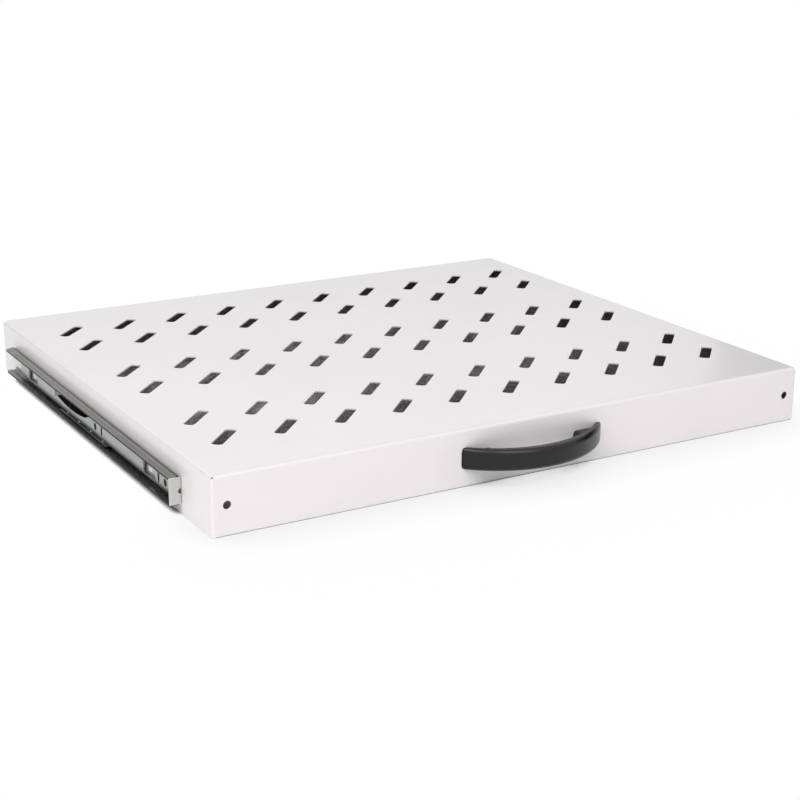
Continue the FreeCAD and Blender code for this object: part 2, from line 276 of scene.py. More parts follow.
def drawWire(bm, start, moves, axis):
    # lines go to a point; round moves turn about a centre by an angle
    first = last = bm.verts.new(start)
    for move in moves:
        if len(move) == 1:
            point = bm.verts.new(move[0])
            bm.edges.new((last, point))
            last = point
        else:
            centre, angle, steps = move
            turned = bmesh.ops.spin(bm, geom=[last], cent=centre, axis=axis, angle=angle, steps=steps)
            last = pick(turned["geom_last"], bmesh.types.BMVert)[0]
    return first, last


def drawFace(bm, start, moves, axis=(0, 0, 1)):
    first, last = drawWire(bm, start, moves, axis)
    if (first.co - last.co).length > near:
        bm.edges.new((last, first))
    else:
        bmesh.ops.pointmerge(bm, verts=[first, last], merge_co=first.co)
    outline = [edge for edge in bm.edges if edge.is_wire]
    return bmesh.ops.contextual_create(bm, geom=outline)["faces"][0]


def punch(bm, face, rim):
    # leaves a ring of faces round an open hole, and gives the ring's outer edges
    ring = bmesh.ops.inset_region(bm, faces=[face], thickness=rim, use_even_offset=True, use_boundary=True)
    outer = [edge for part in ring["faces"] for edge in part.edges if edge.is_boundary]
    bmesh.ops.delete(bm, geom=[face], context="FACES")
    return outer


def roundHole(bm, place, radius, rim, steps):
    made = bmesh.ops.create_circle(bm, cap_ends=True, segments=steps, radius=radius + rim, matrix=place)
    return punch(bm, made["verts"][0].link_faces[0], rim)


def slotHole(bm, place, length, width, corner, rim, steps=4):
    verts = rectangle(bm, place, length + 2 * rim, width + 2 * rim)
    face = roundCorners(bm, verts[0].link_faces[0], corner + rim, steps)
    return punch(bm, face, rim)


def fillPanel(bm, face, holes):
    # a flat face filled again round its holes
    border = face.edges[:]
    normal = face.normal.copy()
    bmesh.ops.delete(bm, geom=[face], context="FACES_ONLY")
    edges = border + [edge for hole in holes for edge in hole]
    bmesh.ops.triangle_fill(bm, use_beauty=True, use_dissolve=False, edges=edges, normal=normal)


def thicken(bm, along):
    # a flat sheet made a solid plate
    grown = bmesh.ops.extrude_face_region(bm, geom=bm.faces[:])["geom"]
    bmesh.ops.translate(bm, vec=along, verts=pick(grown, bmesh.types.BMVert))


def cutThrough(bm, place, facing, keepAll=True):
    # new edges where a plane meets the faces; what lies past it can go
    bmesh.ops.bisect_plane(bm, geom=everything(bm), dist=weld, plane_co=place, plane_no=facing,
                           clear_outer=not keepAll)


def turn(bm, profile, steps):
    # (radius, height) points spun once round Z
    verts = [bm.verts.new((radius, 0, height)) for radius, height in profile]
    edges = [bm.edges.new(pair) for pair in zip(verts, verts[1:])]
    bmesh.ops.spin(bm, geom=verts + edges, cent=(0, 0, 0), axis=(0, 0, 1), angle=2 * pi, steps=steps,
                   use_merge=True)
    bmesh.ops.remove_doubles(bm, verts=bm.verts[:], dist=weld)


def crossRecess(bm, reach, width, depth, slope=0.3):
    # a head's open end, filled with a cross that sinks in with sloping sides
    top = max(vert.co.z for vert in bm.verts)
    rim = [edge for edge in bm.edges if edge.is_boundary and min(vert.co.z for vert in edge.verts) > top - weld]
    face = bmesh.ops.contextual_create(bm, geom=rim)["faces"][0]
    height = face.calc_center_median().z
    arm = [(reach, -width), (reach, width), (width, width)]
    turns = [Matrix.Rotation(quarter * pi / 2, 4, "Z") for quarter in range(4)]
    verts = [bm.verts.new(turned @ Vector((x, y, height))) for turned in turns for x, y in arm]
    cross = bm.faces.new(verts)
    fillPanel(bm, face, [cross.edges[:]])
    bmesh.ops.recalc_face_normals(bm, faces=bm.faces[:])
    bmesh.ops.inset_region(bm, faces=[cross], thickness=slope * width, depth=-depth, use_even_offset=True)


def repeat(bm, places):
    verts, geom = bm.verts[:], everything(bm)
    for place in places[1:]:
        copy = bmesh.ops.duplicate(bm, geom=geom)["geom"]
        bmesh.ops.transform(bm, matrix=place, verts=pick(copy, bmesh.types.BMVert))
    bmesh.ops.transform(bm, matrix=places[0], verts=verts)


def finishPiece(bm, name, node, side=1, finish=None, closed=True):
    bmesh.ops.scale(bm, vec=(side * mm, mm, mm), verts=bm.verts[:])
    if closed:
        bmesh.ops.recalc_face_normals(bm, faces=bm.faces[:])
    for face in bm.faces:
        face.smooth = True
    mesh = bpy.data.meshes.new(name)
    bm.to_mesh(mesh)
    bm.free()
    mesh.materials.append(finishes[finish or slotOf[node]])
    piece = bpy.data.objects.new(name, mesh)
    bpy.context.scene.collection.objects.link(piece)
    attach(piece, bodyOf[node])
    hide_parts(node)
    print("piece", name, "faces", len(mesh.polygons))
    return piece


def addGauge(piece, gauge):
    wall = piece.modifiers.new("gauge", "SOLIDIFY")
    wall.thickness = gauge * mm
    wall.offset = -1.0
    wall.use_even_offset = True


def evenShading(piece):
    shading = piece.modifiers.new("shading", "WEIGHTED_NORMAL")
    shading.keep_sharp = True


def softenEdges(piece, width, steps=2, limit=40.0):
    edge = piece.modifiers.new("edges", "BEVEL")
    edge.limit_method = "ANGLE"
    edge.angle_limit = radians(limit)
    edge.width = width * mm
    edge.segments = steps
    edge.use_clamp_overlap = False
    evenShading(piece)


# tray: one folded sheet with slanted slots, returns along the front and back, and relief holes at its corners
traySheet = {"gauge": 1.2, "bend": 2.2, "bendSteps": 6, "lipWidth": 10.0, "lipBend": 1.2, "lipEndGap": 2.6,
             "relief": 1.0, "reliefShare": 0.93, "edge": 0.22, "rim": 0.8, "holeSteps": 28, "handleHole": 2.6,
             "screwHole": 2.05}
deckSlots = {"columns": 10, "pitch": 40.0, "pairs": 3, "pairSpacing": 40.0, "pairPitch": 110.0,
             "firstRow": 56.8, "offset": 2.0, "length": 28.0, "width": 7.0, "angle": 46.0, "corner": 2.2}


def headPlaces(node, axis):
    # the first and last head of a row along one axis, from the row's box
    low, high = nodeBox(node)
    radius = (high.z - low.z) / 2
    return (low[axis] + radius, high[axis] - radius), (low.z + high.z) / 2, radius


def foldLip(bm, wallY, inward, half):
    bend = traySheet["lipBend"]
    strips = [face for face in bm.faces if face.normal.y * inward < -aligned and face.calc_center_median().z < bend]
    for cutX in (-half, half):
        parts = {item for face in strips for item in (*face.verts, *face.edges, face)}
        cut = bmesh.ops.bisect_plane(bm, geom=list(parts), dist=weld, plane_co=(cutX, 0, 0), plane_no=(1, 0, 0))
        strips = pick(cut["geom"], bmesh.types.BMFace)
    middle = [face for face in strips if abs(face.calc_center_median().x) < half / 2]
    upper = [edge for edge in middle[0].edges if min(vert.co.z for vert in edge.verts) > bend - near]
    bmesh.ops.delete(bm, geom=middle, context="FACES")
    folded = bmesh.ops.spin(bm, geom=upper + upper[0].verts[:], cent=(0, wallY + inward * bend, bend),
                            axis=(1, 0, 0), angle=inward * pi / 2, steps=traySheet["bendSteps"])
    grown = bmesh.ops.extrude_edge_only(bm, edges=pick(folded["geom_last"], bmesh.types.BMEdge))["geom"]
    bmesh.ops.translate(bm, vec=(0, inward * (traySheet["lipWidth"] - bend), 0),
                        verts=pick(grown, bmesh.types.BMVert))


def openRelief(bm, corner, outward):
    # the small hole where three folds meet, made round
    outward = outward.normalized()
    crown = corner + outward * traySheet["bend"]
    reach = traySheet["reliefShare"] * traySheet["relief"]
    inside = [vert for vert in bm.verts if (vert.co - crown).length < reach]
    ring = {vert for gone in inside for face in gone.link_faces for vert in face.verts}
    for vert in ring.difference(inside):
        away = vert.co - crown
        flat = away - outward * away.dot(outward)
        vert.co = crown + outward * away.dot(outward) + flat.normalized() * traySheet["relief"]
    bmesh.ops.delete(bm, geom=inside, context="VERTS")


def deckHoles(bm, low, high):
    holes = []
    slant = Matrix.Rotation(radians(deckSlots["angle"]), 4, "Z")
    for pair in range(deckSlots["pairs"]):
        for row in range(2):
            y = low.y + deckSlots["firstRow"] + pair * deckSlots["pairPitch"] + row * deckSlots["pairSpacing"]
            for column in range(deckSlots["columns"]):
                x = deckSlots["offset"] + (column - (deckSlots["columns"] - 1) / 2) * deckSlots["pitch"]
                place = Matrix.Translation((x, y, high.z)) @ slant
                holes.append(slotHole(bm, place, deckSlots["length"], deckSlots["width"],
                                      deckSlots["corner"], traySheet["rim"]))
    return holes


def wallHoles(bm, places, facing, radius):
    return [roundHole(bm, Matrix.Translation(place) @ facing, radius, traySheet["rim"], traySheet["holeSteps"])
            for place in places]


def makeTray():
    low, high = nodeBox("tray")
    bend = traySheet["bend"]
    bm = bmesh.new()
    block(bm, low, high)
    bm.normal_update()
    bmesh.ops.delete(bm, geom=[face for face in bm.faces if face.normal.z < -aligned], context="FACES")
    folds = [edge for edge in bm.edges if max(vert.co.z for vert in edge.verts) > bend]
    roundEdges(bm, folds, bend, traySheet["bendSteps"])
    cutThrough(bm, (0, 0, traySheet["lipBend"]), (0, 0, 1))
    bm.normal_update()
    half = (high.x - low.x) / 2 - traySheet["lipEndGap"]
    walls = ((low.y, 1), (high.y, -1))
    for wallY, inward in walls:
        foldLip(bm, wallY, inward, half)
    for x in (-1, 1):
        for wallY, inward in walls:
            corner = Vector((x * (high.x - bend), wallY + inward * bend, high.z - bend))
            openRelief(bm, corner, Vector((x, -inward, 1)))
    bm.normal_update()
    panels = {}
    for name, facing in (("deck", (0, 0, 1)), ("front", (0, -1, 0)), ("right", (1, 0, 0)), ("left", (-1, 0, 0))):
        flat = [face for face in bm.faces if face.normal.dot(Vector(facing)) > aligned]
        panels[name] = max(flat, key=lambda face: face.calc_area())
    fillPanel(bm, panels["deck"], deckHoles(bm, low, high))
    fixing = mounts["front_fixing_holes"]
    reach, height = fixing["dims"]["spacing_x_mm"] / 2, fixing["pos_m"][2] / mm
    ends = [(x, low.y, height) for x in (-reach, reach)]
    handleX, handleZ = headPlaces("handle_screws", 0)[:2]
    feet = [(x, low.y, handleZ) for x in handleX]
    front = wallHoles(bm, ends, toFront, fixing["dims"]["hole_r_mm"])
    fillPanel(bm, panels["front"], front + wallHoles(bm, feet, toFront, traySheet["handleHole"]))
    for name, x in (("right", high.x), ("left", low.x)):
        screwY, screwZ = headPlaces(name + "_channel_screws", 1)[:2]
        places = [(x, y, screwZ) for y in screwY]
        fillPanel(bm, panels[name], wallHoles(bm, places, toRight, traySheet["screwHole"]))
    bmesh.ops.recalc_face_normals(bm, faces=bm.faces[:])
    piece = finishPiece(bm, "foldedTray", "tray", closed=False)
    addGauge(piece, traySheet["gauge"])
    softenEdges(piece, traySheet["edge"])


makeTray()


# bow handle: a rounded bar bent to an arc that thins to its ends, cut flush with the front face, on two feet
bowHandle = {"thickness": 7.0, "thinning": 0.55, "frontRound": 3.4, "backRound": 1.4, "footInner": 30.0,
             "footOuter": 46.0, "footDepth": 10.6, "footTaper": 6.2, "footHeight": 8.0, "footEdge": 2.4,
             "footSteps": 3, "overrun": 0.3, "arcSteps": 72, "roundSteps": 7}


def makeHandle():
    low, high = nodeBox("handle")
    wall, reach, thick = high.y, high.y - low.y, bowHandle["thickness"]
    outer = (high.x ** 2 + reach ** 2) / (2 * reach)
    axis = Vector((0, low.y + outer, 0))
    bm = bmesh.new()
    middle = Matrix.Translation((0, low.y + thick / 2, (low.z + high.z) / 2)) @ toRight
    section = rectangle(bm, middle, high.z - low.z, thick)
    front = [vert for vert in section if vert.co.y < low.y + thick / 2]
    back = [vert for vert in section if vert not in front]
    for verts, radius in ((front, bowHandle["frontRound"]), (back, bowHandle["backRound"])):
        bmesh.ops.bevel(bm, geom=verts, offset=radius, offset_type="OFFSET", segments=bowHandle["roundSteps"],
                        profile=0.5, affect="VERTICES", material=-1)
    bmesh.ops.delete(bm, geom=bm.faces[:], context="FACES_ONLY")
    reachAngle = asin(high.x / outer)
    sweep = 2 * reachAngle + bowHandle["overrun"]
    bmesh.ops.rotate(bm, cent=axis, matrix=Matrix.Rotation(-sweep / 2, 3, "Z"), verts=bm.verts[:])
    bmesh.ops.spin(bm, geom=bm.verts[:] + bm.edges[:], cent=axis, axis=(0, 0, 1), angle=sweep,
                   steps=bowHandle["arcSteps"])
    for vert in bm.verts:
        arm = (vert.co - axis) * Vector((1, 1, 0))
        share = 1 - bowHandle["thinning"] * (atan2(arm.x, -arm.y) / reachAngle) ** 2
        vert.co += arm.normalized() * (outer - arm.length) * (1 - share)
    cutThrough(bm, (0, wall, 0), (0, 1, 0), keepAll=False)
    bmesh.ops.holes_fill(bm, edges=[edge for edge in bm.edges if edge.is_boundary], sides=0)
    rise = (high.z - low.z - bowHandle["footHeight"]) / 2
    for x in (-1, 1):
        first, last = sorted((x * bowHandle["footInner"], x * bowHandle["footOuter"]))
        foot = block(bm, (first, wall - bowHandle["footDepth"], low.z + rise), (last, wall, high.z - rise))
        thin = [vert for vert in foot if vert.co.y < wall - near and x * vert.co.x > bowHandle["footOuter"] - near]
        bmesh.ops.translate(bm, vec=(0, bowHandle["footTaper"], 0), verts=thin)
        free = {edge for vert in foot for edge in vert.link_edges
                if min(end.co.y for end in edge.verts) < wall - near}
        roundEdges(bm, list(free), bowHandle["footEdge"], bowHandle["footSteps"])
    piece = finishPiece(bm, "bowHandle", "handle")
    evenShading(piece)


makeHandle()


# the handle's screws and washers, from inside the front wall
panScrew = {"height": 2.8, "rim": 1.2, "crown": 1.9, "crownTurn": 0.4 * pi, "crownSteps": 6, "shank": 2.5, "tip": 0.4,
            "recess": 2.3, "arm": 0.5, "recessDepth": 1.3, "steps": 36, "edge": 0.08}


def makeHandleScrews():
    low, high = nodeBox("handle_screws")
    centres, height, radius = headPlaces("handle_screws", 0)
    headBase = high.y - low.y - panScrew["height"]
    shank, tip, sweep = panScrew["shank"], panScrew["tip"], panScrew["crownTurn"]
    rimTop, rise = headBase + panScrew["rim"], panScrew["height"] - panScrew["rim"]
    bm = bmesh.new()
    profile = [(0, 0), (shank - tip, 0), (shank, tip), (shank, headBase), (radius, headBase), (radius, rimTop)]
    for step in range(panScrew["crownSteps"]):
        angle = sweep * (step + 1) / panScrew["crownSteps"]
        profile.append((radius - panScrew["crown"] * (1 - cos(angle)), rimTop + rise * sin(angle) / sin(sweep)))
    turn(bm, profile, panScrew["steps"])
    crossRecess(bm, panScrew["recess"], panScrew["arm"], panScrew["recessDepth"])
    repeat(bm, [Matrix.Translation((x, low.y, height)) @ toRear for x in centres])
    piece = finishPiece(bm, "handleScrews", "handle_screws")
    softenEdges(piece, panScrew["edge"])


flatWasher = {"bore": 2.6, "corner": 0.25, "steps": 40, "edge": 0.1}


def makeHandleWashers():
    low, high = nodeBox("handle_washers")
    centres, height, radius = headPlaces("handle_washers", 0)
    thickness, corner, bore = high.y - low.y, flatWasher["corner"], flatWasher["bore"]
    bm = bmesh.new()
    turn(bm, [(bore, 0), (radius - corner, 0), (radius, corner), (radius, thickness - corner),
              (radius - corner, thickness), (bore, thickness), (bore, 0)], flatWasher["steps"])
    repeat(bm, [Matrix.Translation((x, low.y, height)) @ toRear for x in centres])
    piece = finishPiece(bm, "handleWashers", "handle_washers")
    softenEdges(piece, flatWasher["edge"])


makeHandleScrews()
makeHandleWashers()


# slides: drawn once for the right wall as (along, up, out) and mirrored for the left
channelLow, channelHigh = nodeBox("right_channel")
railLow, railHigh = nodeBox("right_rail")
slideBase = Vector((channelLow.x, channelLow.y, (channelLow.z + channelHigh.z) / 2))
slidePlace = Matrix(((0, 0, 1, slideBase.x), (1, 0, 0, slideBase.y), (0, 1, 0, slideBase.z), (0, 0, 0, 1)))
slideLength = channelHigh.y - channelLow.y
slideDepth = channelHigh.x - channelLow.x
slideScrews, slideScrewZ, slideHead = headPlaces("right_channel_screws", 1)
screwAlong = [y - slideBase.y for y in slideScrews]
rollChannel = {"height": 17.0, "gauge": 1.0, "flange": 1.2, "bend": 1.3, "bendSteps": 6, "innerBend": 0.4,
               "innerSteps": 4, "raceOut": 2.7, "raceUp": 6.38, "raceRadius": 1.37, "raceSteps": 8, "start": 1.4,
               "notchDepth": 14.0, "notchHeight": 12.0, "corner": 3.0, "cornerSteps": 5, "edge": 0.14,
               "seatGap": (0.25, 0.12), "seatRim": 0.4, "seatSteps": 32, "flatFacing": 0.9}


def placeOnSlide(bm):
    bmesh.ops.transform(bm, matrix=slidePlace, verts=bm.verts[:])


def halfChord(radius, drop):
    return sqrt(radius ** 2 - drop ** 2)


def joinEdges(bm, test):
    # a quad between the two open edges that pass the test
    pair = [edge for edge in bm.edges if edge.is_boundary and all(test(vert.co) for vert in edge.verts)]
    bmesh.ops.contextual_create(bm, geom=pair)


def sinkSeats(bm, gauge):
    # a round hole on each side of the web at every screw, joined by the cone that the head lies in
    seam = [edge for edge in bm.edges if edge.calc_length() > 2 * gauge and
            all(abs(vert.co.y) < near and vert.co.z < gauge + near for vert in edge.verts)]
    bmesh.ops.dissolve_edges(bm, edges=seam, use_verts=False)
    bm.normal_update()
    deepGap, gap = rollChannel["seatGap"]
    for height, radius in ((0.0, slideHead + deepGap - gauge), (gauge, slideHead + gap)):
        flat = [face for face in bm.faces if all(abs(vert.co.z - height) < near for vert in face.verts)]
        web = max(flat, key=lambda face: face.calc_area())
        holes = [roundHole(bm, Matrix.Translation((along, 0, height)), radius, rollChannel["seatRim"],
                           rollChannel["seatSteps"]) for along in screwAlong]
        fillPanel(bm, web, holes)
    for along in screwAlong:
        rims = [edge for edge in bm.edges if edge.is_boundary and
                all(abs(vert.co.x - along) < slideHead + rollChannel["seatRim"] for vert in edge.verts)]
        bmesh.ops.bridge_loops(bm, edges=rims)


def makeChannel(side, name):
    # the upper half of the section, swept along the slide, notched at its rear end and mirrored
    top, gauge, start = rollChannel["height"] / 2, rollChannel["gauge"], rollChannel["start"]
    bend, ease, inner = rollChannel["bend"], rollChannel["innerBend"], top - rollChannel["flange"]
    up, out, race = rollChannel["raceUp"], rollChannel["raceOut"], rollChannel["raceRadius"]
    bendSteps, easeSteps, raceSteps = [rollChannel[steps] for steps in ("bendSteps", "innerSteps", "raceSteps")]
    bead = race + rollChannel["flange"]
    beadHalf, raceHalf = halfChord(bead, top - up), halfChord(race, inner - up)
    raceCentre = (start, up, out)
    bm = bmesh.new()
    moves = [[(start, top - bend, 0)], ((start, top - bend, bend), pi / 2, bendSteps),
             [(start, top, out - beadHalf)], (raceCentre, 2 * asin(beadHalf / bead), raceSteps),
             [(start, top, slideDepth)], [(start, inner, slideDepth)],
             [(start, inner, out + raceHalf)], (raceCentre, -2 * asin(raceHalf / race), raceSteps),
             [(start, inner, gauge + ease)], ((start, inner - ease, gauge + ease), -pi / 2, easeSteps),
             [(start, 0, gauge)]]
    drawFace(bm, (start, 0, 0), moves, (1, 0, 0))
    thicken(bm, (slideLength - start, 0, 0))
    lip = [edge for edge in bm.edges if all(vert.co.x > slideLength - near and vert.co.z > slideDepth - near
                                            for vert in edge.verts)]
    roundEdges(bm, lip, rollChannel["corner"], rollChannel["cornerSteps"])
    notchX, notchUp = slideLength - rollChannel["notchDepth"], rollChannel["notchHeight"] / 2
    cutThrough(bm, (notchX, 0, 0), (1, 0, 0))
    cutThrough(bm, (0, notchUp, 0), (0, 1, 0))
    gone = [face for face in bm.faces if face.calc_center_median().x > notchX + near and
            face.calc_center_median().y < notchUp - near and face.calc_center_median().z < gauge + near]
    bmesh.ops.delete(bm, geom=gone, context="FACES")
    joinEdges(bm, lambda point: abs(point.x - notchX) < near and point.y < notchUp + near)
    joinEdges(bm, lambda point: abs(point.y - notchUp) < near and point.x > notchX - near)
    seam = [face for face in bm.faces if max(vert.co.y for vert in face.verts) < near]
    bmesh.ops.delete(bm, geom=seam, context="FACES")
    bmesh.ops.mirror(bm, geom=everything(bm), axis="Y", merge_dist=weld)
    sinkSeats(bm, gauge)
    placeOnSlide(bm)
    piece = finishPiece(bm, name + "Channel", name + "_channel", side, "channel_zinc")
    # the web's faces take the lighter copy of the zinc (painted light) and the flanges' outer edges the nearly black
    # one (painted shade)
    for finish in ("web_zinc_painted_light", "edge_zinc_painted_shade"):
        piece.data.materials.append(finishes[finish])
    for face in piece.data.polygons:
        if abs(face.normal.x) > rollChannel["flatFacing"]:
            face.material_index = 1 if abs(face.center.x) / mm < slideBase.x + gauge + skin else 2
    softenEdges(piece, rollChannel["edge"])


frontTab = {"thickness": 1.0, "notch": 1.7, "notchSteps": 14, "wallGap": 0.4, "footGap": 0.7, "edge": 0.2}


def makeFrontTab(side, name):
    # the web's front end, turned out across the channel, with a half-round notch at the wall
    half, notch, wall = rollChannel["height"] / 2, frontTab["notch"], frontTab["wallGap"]
    foot = frontTab["footGap"] - half
    bm = bmesh.new()
    moves = [[(0, -notch, wall)], ((0, 0, wall), pi, frontTab["notchSteps"]), [(0, half, wall)],
             [(0, half, slideDepth)], [(0, foot, slideDepth)]]
    drawFace(bm, (0, foot, wall), moves, (-1, 0, 0))
    thicken(bm, (frontTab["thickness"], 0, 0))
    for up in (-1, 1):
        low, high = sorted((up * notch, up * (half - rollChannel["flange"])))
        block(bm, (frontTab["thickness"], low, 0), (rollChannel["start"], high, rollChannel["gauge"]))
    placeOnSlide(bm)
    # the tab takes the lighter copy of the zinc: painted light
    piece = finishPiece(bm, name + "FrontTab", name + "_channel", side, "tab_zinc_painted_light")
    softenEdges(piece, frontTab["edge"])


flatRail = {"lug": 6.9, "half": 5.46, "stop": 4.0, "slit": (2.4, 5.4), "window": (18.0, 7.6), "windowLead": 3.0,
            "slitAlong": (26.5, 119.5), "hookHeight": 4.6, "hookReach": 1.8, "hookSetback": 97.0, "hookRaise": 2.4,
            "gauge": 1.2, "corner": 0.5, "edge": 0.14, "rim": 0.35, "holeSteps": 28}


def makeRail(side, name):
    start, end = railLow.y - slideBase.y, railHigh.y - slideBase.y
    half, lug, stop, gauge = flatRail["half"], flatRail["lug"], start + flatRail["stop"], flatRail["gauge"]
    rim, corner = flatRail["rim"], flatRail["corner"]
    bm = bmesh.new()
    moves = [[(stop, -lug, 0)], [(stop, -half, 0)], [(end, -half, 0)], [(end, half, 0)], [(stop, half, 0)],
             [(stop, lug, 0)], [(start, lug, 0)]]
    plate = drawFace(bm, (start, -lug, 0), moves)
    hookAlong, hookUp = slideLength - flatRail["hookSetback"], flatRail["hookRaise"]
    hookHalf, hookReach = flatRail["hookHeight"] / 2, flatRail["hookReach"]
    slots = [(place, 0, *flatRail["slit"]) for place in flatRail["slitAlong"]]
    slots += [(place - flatRail["windowLead"], 0, *flatRail["window"]) for place in screwAlong]
    slots.append((hookAlong + gauge + hookReach / 2, hookUp, hookReach, 2 * hookHalf))
    holes = [slotHole(bm, Matrix.Translation((place, up, 0)), length, height, corner, rim)
             for place, up, length, height in slots]
    mount = mounts[name + "_rail_holes"]
    centre, spacing = mount["pos_m"][1] / mm - slideBase.y, mount["dims"]["spacing_x_mm"]
    for place in (centre - spacing / 2, centre + spacing / 2):
        holes.append(roundHole(bm, Matrix.Translation((place, 0, 0)), mount["dims"]["hole_r_mm"], rim,
                               flatRail["holeSteps"]))
    bm.normal_update()
    fillPanel(bm, plate, holes)
    thicken(bm, (0, 0, gauge))
    block(bm, (hookAlong, hookUp - hookHalf, gauge / 2), (hookAlong + gauge, hookUp + hookHalf, gauge + hookReach))
    bmesh.ops.translate(bm, vec=(0, 0, railLow.x - slideBase.x), verts=bm.verts[:])
    placeOnSlide(bm)
    piece = finishPiece(bm, name + "Rail", name + "_rail", side)
    # the hook beyond the plate takes the lighter copy of the zinc: painted light
    piece.data.materials.append(finishes["tab_zinc_painted_light"])
    for face in piece.data.polygons:
        face.material_index = int(abs(face.center.x) / mm > railLow.x + gauge + skin)
    softenEdges(piece, flatRail["edge"])


releaseLever = {"tip": 0.6, "tipSteps": 8, "arcSteps": 36, "edge": 0.45, "edgeSteps": 4}


def makeLever(side, name):
    # a lens of two long arcs with small round tips
    low, high = nodeBox("right_lever")
    middle = (low + high) / 2
    along, up, inner = middle.y - slideBase.y, middle.z - slideBase.z, low.x - slideBase.x
    tip, crown = releaseLever["tip"], (high.z - low.z) / 2
    tipAlong = (high.y - low.y) / 2 - tip
    radius = (tipAlong ** 2 + crown ** 2 - tip ** 2) / (2 * (crown - tip))
    sweep = 2 * asin(tipAlong / (radius - tip))
    lift = radius - crown
    bm = bmesh.new()
    first = (along - radius * sin(sweep / 2), up - lift + radius * cos(sweep / 2), inner)
    moves = []
    for way in (1, -1):
        moves.append(((along, up - way * lift, inner), -sweep, releaseLever["arcSteps"]))
        moves.append(((along + way * tipAlong, up, inner), sweep - pi, releaseLever["tipSteps"]))
    drawFace(bm, first, moves)
    thicken(bm, (0, 0, high.x - low.x))
    placeOnSlide(bm)
    piece = finishPiece(bm, name + "Lever", name + "_lever", side)
    softenEdges(piece, releaseLever["edge"], releaseLever["edgeSteps"])


domedRivet = {"shank": 1.25, "head": 0.5, "domeSteps": 8, "steps": 28, "edge": 0.04}


def makeRivet(side, name):
    low, high = nodeBox("right_lever_rivet")
    radius = (high.z - low.z) / 2
    shank, head = domedRivet["shank"], domedRivet["head"]
    seat = high.x - low.x - head
    bm = bmesh.new()
    profile = [(0, 0), (shank, 0), (shank, seat), (radius, seat)]
    for step in range(domedRivet["domeSteps"]):
        angle = pi / 2 * (step + 1) / domedRivet["domeSteps"]
        profile.append((radius * cos(angle), seat + head * sin(angle)))
    turn(bm, profile, domedRivet["steps"])
    place = Matrix.Translation((low.x, (low.y + high.y) / 2, (low.z + high.z) / 2))
    bmesh.ops.transform(bm, matrix=place @ toRight, verts=bm.verts[:])
    piece = finishPiece(bm, name + "LeverRivet", name + "_lever_rivet", side)
    softenEdges(piece, domedRivet["edge"])


sunkScrew = {"shank": 2.0, "tip": 0.35, "rim": 0.12, "recess": 1.75, "arm": 0.42, "recessDepth": 0.75,
             "turns": (20.0, 62.0), "steps": 36, "edge": 0.04}


def makeChannelScrews(side, name):
    low, high = nodeBox("right_channel_screws")
    shank, tip, rim = sunkScrew["shank"], sunkScrew["tip"], sunkScrew["rim"]
    length, cone = high.x - low.x, slideHead - shank
    bm = bmesh.new()
    turn(bm, [(0, -length), (shank - tip, -length), (shank, tip - length), (shank, -cone - rim),
              (slideHead, -rim), (slideHead - rim, 0)], sunkScrew["steps"])
    crossRecess(bm, sunkScrew["recess"], sunkScrew["arm"], sunkScrew["recessDepth"])
    turns = [Matrix.Rotation(radians(angle), 4, "Z") for angle in sunkScrew["turns"]]
    repeat(bm, [Matrix.Translation((high.x, y, slideScrewZ)) @ toRight @ spun
                for y, spun in zip(slideScrews, turns)])
    piece = finishPiece(bm, name + "ChannelScrews", name + "_channel_screws", side)
    softenEdges(piece, sunkScrew["edge"])


hexNut = {"width": 7.0, "bore": 2.05, "rim": 0.4, "steps": 24, "edge": 0.3, "edgeSteps": 3}


def makeNuts(side, name):
    low, high = nodeBox("right_channel_nuts")
    thickness = high.x - low.x
    bm = bmesh.new()
    outer = hexNut["width"] / 2 / cos(pi / 6)
    made = bmesh.ops.create_circle(bm, cap_ends=True, segments=6, radius=outer, matrix=Matrix.Identity(4))
    face = made["verts"][0].link_faces[0]
    hole = roundHole(bm, Matrix.Identity(4), hexNut["bore"], hexNut["rim"], hexNut["steps"])
    bm.normal_update()
    fillPanel(bm, face, [hole])
    thicken(bm, (0, 0, thickness))
    repeat(bm, [Matrix.Translation((low.x, y, slideScrewZ)) @ toRight for y in slideScrews])
    piece = finishPiece(bm, name + "ChannelNuts", name + "_channel_nuts", side)
    softenEdges(piece, hexNut["edge"], hexNut["edgeSteps"])


bearingBalls = {"radius": 1.25, "perRow": 4, "fineness": 3}


def makeBalls(side, name):
    low, high = nodeBox("right_balls")
    radius, count = bearingBalls["radius"], bearingBalls["perRow"]
    inset = (high.x - low.x) / 2
    bm = bmesh.new()
    bmesh.ops.create_icosphere(bm, subdivisions=bearingBalls["fineness"], radius=radius)
    out = (low.x + high.x) / 2
    first, last = low.y + inset, high.y - inset
    rows = [(first + (last - first) * step / (count - 1), z) for step in range(count)
            for z in (low.z + inset, high.z - inset)]
    repeat(bm, [Matrix.Translation((out, y, z)) for y, z in rows])
    finishPiece(bm, name + "Balls", name + "_balls", side)


for side, name in ((1, "right"), (-1, "left")):
    makeChannel(side, name)
    makeFrontTab(side, name)
    makeRail(side, name)
    makeLever(side, name)
    makeRivet(side, name)
    makeChannelScrews(side, name)
    makeNuts(side, name)
    makeBalls(side, name)
    cage = frame["nodes"][name + "_cage"]
    cage.data.materials.clear()
    cage.data.materials.append(finishes["cage_steel"])
print("slides made")
